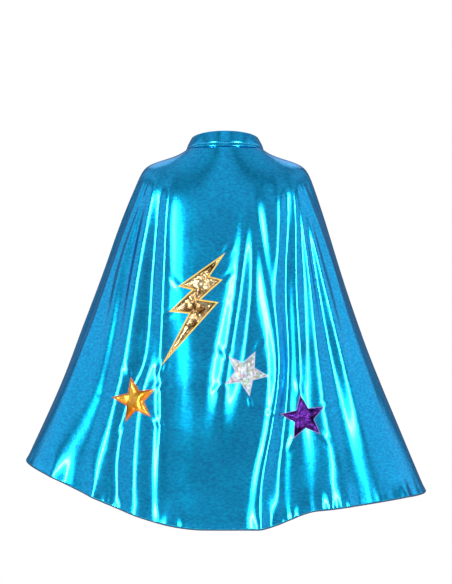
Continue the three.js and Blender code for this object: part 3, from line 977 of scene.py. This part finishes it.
# ---- Appliques ----
# Foil cloth cut to shape over a layer of wadding and sewn on with a dense row of rayon thread round the
# edge, which pulls the edge down and leaves the middle full. The silver star is glitter cloth and has no
# wadding.
shell_surface = BVHTree.FromObject(shell, bpy.context.evaluated_depsgraph_get())


class Seat:
    """The patch of the cape that an applique is sewn to: x and z on it become points over the cloth."""

    def __init__(self, place, reach):
        x, z = place
        rays = [
            shell_surface.ray_cast(Vector((x + a * reach, -1, z + b * reach)), Vector((0, 1, 0)))
            for a, b in [(0, 0), (0.5, 0), (-0.5, 0), (0, 0.5), (0, -0.5), (0.3, 0.3), (-0.3, -0.3)]
        ]
        self.middle = rays[0][0]
        self.out = sum((ray[1] for ray in rays), Vector()).normalized()
        if self.out.y > 0:
            self.out.negate()
        self.right = Vector((0, 0, 1)).cross(self.out).normalized()
        self.up = self.out.cross(self.right)

    def point(self, flat, height):
        above = self.middle + self.right * flat.x + self.up * flat.y + self.out * 0.05
        hit = shell_surface.ray_cast(above, -self.out)[0]
        return hit + self.out * height


def inset(outline, distance):
    """The outline moved inwards, with mitred corners."""
    moved = []
    for i, corner in enumerate(outline):
        arriving = (corner - outline[i - 1]).normalized()
        leaving = (outline[(i + 1) % len(outline)] - corner).normalized()
        inward = Vector((-arriving.y - leaving.y, arriving.x + leaving.x)).normalized()
        moved.append(corner + inward * (distance / inward.dot(Vector((-arriving.y, arriving.x)))))
    return moved


def distance_inside(flat, outline):
    """How far a point is from the nearest edge of the outline."""
    nearest = 1.0
    for a, b in zip(outline, outline[1:] + outline[:1]):
        edge = b - a
        t = min(max((flat - a).dot(edge) / edge.length_squared, 0.0), 1.0)
        nearest = min(nearest, (flat - a - edge * t).length)
    return nearest


CELL = 0.0014  # between the cuts that give an applique's cloth enough points to be full and crinkled
PATCH_LIFT = 0.0003  # how far over the shell a patch's edge lies
CORD_LIFT = 0.0001
EDGE_PITCH = 0.0009
EDGE_STRAND = 0.0012
FLECK_SIZE = 0.003


def face_out(mesh, seat):
    """Turns every face of an applique's mesh away from the cape."""
    bmesh.ops.recalc_face_normals(mesh, faces=mesh.faces)
    if sum((face.normal for face in mesh.faces), Vector()).dot(seat.out) < 0:
        bmesh.ops.reverse_faces(mesh, faces=mesh.faces)


def padded_patch(outline, seat, rise, width, crinkle, seed):
    """A cut shape of cloth: rise is its fullness, and width how far in from the edge that is reached."""
    patch = bmesh.new()
    face = patch.faces.new([patch.verts.new((corner.x, corner.y, 0)) for corner in outline])
    face.normal_update()
    bmesh.ops.triangulate(patch, faces=[face])
    for axis in (0, 1):
        low = min(corner[axis] for corner in outline)
        high = max(corner[axis] for corner in outline)
        normal = Vector((1 - axis, axis, 0))
        for i in range(1, int((high - low) / CELL)):
            bmesh.ops.bisect_plane(
                patch,
                geom=patch.verts[:] + patch.edges[:] + patch.faces[:],
                plane_co=normal * (low + i * CELL),
                plane_no=normal,
                dist=1e-5,
            )
    bmesh.ops.remove_doubles(patch, verts=patch.verts, dist=CELL / 12)
    for vertex in patch.verts:
        flat = Vector((vertex.co.x, vertex.co.y))
        inside = min(distance_inside(flat, outline) / width, 1.0)
        height = PATCH_LIFT + rise * math.sqrt(max(1 - (1 - inside) ** 2, 0.0))
        folds = noise.noise((flat.x * 150, flat.y * 150, seed)) + 0.6 * abs(
            noise.noise((flat.x * 330, flat.y * 330, seed + 5))
        )
        height += crinkle * folds * inside
        vertex.co = seat.point(flat, height)
    bmesh.ops.smooth_vert(patch, verts=[v for v in patch.verts if not v.is_boundary], factor=0.4)
    face_out(patch, seat)
    return patch


def stitched_edge(outline, seat, width, rise, pitch, zigzag):
    """A raised cord of stitches over the cut edge, pitch apart, with every other one moved by zigzag."""
    outer, inner = inset(outline, -0.25 * width), inset(outline, 0.75 * width)
    samples = []
    for i, corner in enumerate(outline):
        after = (i + 1) % len(outline)
        count = max(2, round((outline[after] - corner).length / pitch / 2) * 2)
        samples += [(i, after, step / count) for step in range(count)]
    cord = bmesh.new()
    bmesh.ops.create_grid(cord, x_segments=len(samples), y_segments=6, size=0.5)
    for vertex in cord.verts:
        column = round((vertex.co.x + 0.5) * len(samples))
        row = vertex.co.y + 0.5
        i, after, t = samples[column % len(samples)]
        a, b = outer[i].lerp(outer[after], t), inner[i].lerp(inner[after], t)
        odd = column % 2
        flat = a.lerp(b, row) + (b - a).normalized() * (zigzag * (0.5 - odd))
        height = CORD_LIFT + rise * math.sin(math.pi * row) ** 0.6 * (1.0 if odd else 0.72)
        vertex.co = seat.point(flat, height)
    bmesh.ops.remove_doubles(cord, verts=cord.verts, dist=1e-6)
    face_out(cord, seat)
    return cord


def foil_material(name, dark, light, roughness, crinkle_size, crinkle_depth):
    """Foil cloth: two tones in soft patches, and creases that break up what it mirrors."""
    material, tree, shader, place = new_material(name)
    # Partly painted reflection: the patches stand in for the dark places and glints that crinkled foil
    # mirrors.
    tone = add_node(
        tree, "ShaderNodeTexNoise", {"Scale": 0.7 / crinkle_size, "Detail": 3.0}, {"Vector": place}
    )
    spread = add_node(
        tree, "ShaderNodeMapRange", {"From Min": 0.35, "From Max": 0.65}, {"Value": tone.outputs["Fac"]}
    )
    tones = {"data_type": "RGBA", 6: linear(dark), 7: linear(light)}
    colour = add_node(tree, "ShaderNodeMix", tones, {0: spread.outputs["Result"]})
    creases = add_node(
        tree,
        "ShaderNodeTexNoise",
        {"Scale": 1 / crinkle_size, "Detail": 4.0, "Distortion": 1.2},
        {"Vector": place},
    )
    bump = add_node(
        tree,
        "ShaderNodeBump",
        {"Strength": 1.0, "Distance": crinkle_depth},
        {"Height": creases.outputs["Fac"]},
    )
    set_up(
        shader,
        {"Metallic": 1.0, "Roughness": roughness},
        {"Base Color": colour.outputs[2], "Normal": bump.outputs["Normal"]},
    )
    return material


def thread_material(name, colour, dark):
    """Rayon embroidery thread: glossy, with light and dark strands about as wide as a stitch."""
    material, tree, shader, place = new_material(name)
    strands = add_node(
        tree, "ShaderNodeTexNoise", {"Scale": 1 / EDGE_STRAND, "Detail": 2.0}, {"Vector": place}
    )
    tones = {"data_type": "RGBA", 6: linear(dark), 7: linear(colour)}
    tint = add_node(tree, "ShaderNodeMix", tones, {0: strands.outputs["Fac"]})
    bump = add_node(
        tree, "ShaderNodeBump", {"Strength": 0.5, "Distance": 0.0003}, {"Height": strands.outputs["Fac"]}
    )
    set_up(
        shader,
        {"Roughness": 0.35, "Sheen Weight": 0.3},
        {"Base Color": tint.outputs[2], "Normal": bump.outputs["Normal"]},
    )
    return material


# Glitter cloth: flecks of holographic foil, each tilted and tinted its own way, so that it sparkles. Real
# flecks are under a millimetre: here they are 3 mm, as coarse as they need to show.
silver_glitter, tree, shader, place = new_material("holographic_glitter_cloth_silver")
flecks = add_node(tree, "ShaderNodeTexVoronoi", {"Scale": 1 / FLECK_SIZE}, {"Vector": place})
facets = add_node(tree, "ShaderNodeSeparateColor", links={0: flecks.outputs["Color"]})
bright = add_node(
    tree, "ShaderNodeMapRange", {"To Min": 0.24, "To Max": 0.66}, {"Value": facets.outputs[2]}
)
hue = add_node(
    tree,
    "ShaderNodeCombineColor",
    {"mode": "HSV", 1: 0.24},
    {0: facets.outputs[0], 2: bright.outputs["Result"]},
)
shine = add_node(tree, "ShaderNodeMapRange", {"To Min": 0.4, "To Max": 0.75}, {"Value": facets.outputs[1]})
tilt = add_node(
    tree, "ShaderNodeBump", {"Strength": 0.8, "Distance": 0.0012}, {"Height": facets.outputs[2]}
)
set_up(
    shader,
    {"Metallic": 0.5},
    {
        "Base Color": hue.outputs[0],
        "Roughness": shine.outputs["Result"],
        "Normal": tilt.outputs["Normal"],
    },
)

# Painted reflection: the gold's dark brown tone stands in for mirrored dark places, the purple's light one
# for glints.
gold_foil = foil_material("crinkled_foil_cloth_gold", "#4e300f", "#f2c890", 0.2, 0.014, 0.003)
orange_foil = foil_material("foil_cloth_orange", "#f0780f", "#ffb84a", 0.3, 0.024, 0.0015)
purple_foil = foil_material("holographic_foil_cloth_purple", "#140628", "#5e2a8e", 0.2, 0.010, 0.003)
gold_thread = thread_material("rayon_embroidery_thread_gold", "#f0cf62", "#b98a2c")
rust_thread = thread_material("rayon_embroidery_thread_rust", "#c8683c", "#7c3a2a")
silver_thread = thread_material("rayon_embroidery_thread_silver", "#b4bccb", "#8089a0")
lilac_thread = thread_material("rayon_embroidery_thread_lilac", "#8f78c4", "#35205e")

bolt_outline, orange_outline, silver_outline, purple_outline = (outline for place, outline in APPLIQUES)
for (
    name, place, outline, foil, foil_slot, thread, thread_slot,
    rise, width, crinkle, edge, edge_rise, zigzag,
) in [
    ("bolt", BOLT_PLACE, bolt_outline, gold_foil, "gold_foil_cloth", gold_thread, "gold_thread",
     0.0042, 0.009, 0.0013, 0.0028, 0.0013, 0.0),
    ("orange_star", ORANGE_STAR_PLACE, orange_outline, orange_foil, "orange_foil_cloth", rust_thread,
     "rust_thread", 0.0040, 0.010, 0.0006, 0.0019, 0.0009, 0.0007),
    ("silver_star", SILVER_STAR_PLACE, silver_outline, silver_glitter, "silver_glitter_cloth",
     silver_thread, "silver_thread", 0.0009, 0.004, 0.0002, 0.0018, 0.0008, 0.0006),
    ("purple_star", PURPLE_STAR_PLACE, purple_outline, purple_foil, "purple_holographic_foil", lilac_thread,
     "lilac_thread", 0.0040, 0.010, 0.0011, 0.0019, 0.0009, 0.0007),
]:
    seat = Seat(place, STAR_RADIUS)
    padding = padded_patch(inset(outline, 0.4 * edge), seat, rise, width, crinkle, len(name))
    patch = finish_mesh(padding, name + "_foil_patch", foil)
    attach(patch, "cape")
    edging = stitched_edge(outline, seat, edge, edge_rise, EDGE_PITCH, zigzag)
    cord = finish_mesh(edging, name + "_satin_edge", thread)
    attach(cord, "cape")
    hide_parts(name + "_edge_stitching")
    if name == "silver_star":
        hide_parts(name + "_cloth")
    else:
        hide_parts(name + "_cloth", name + "_wadding")
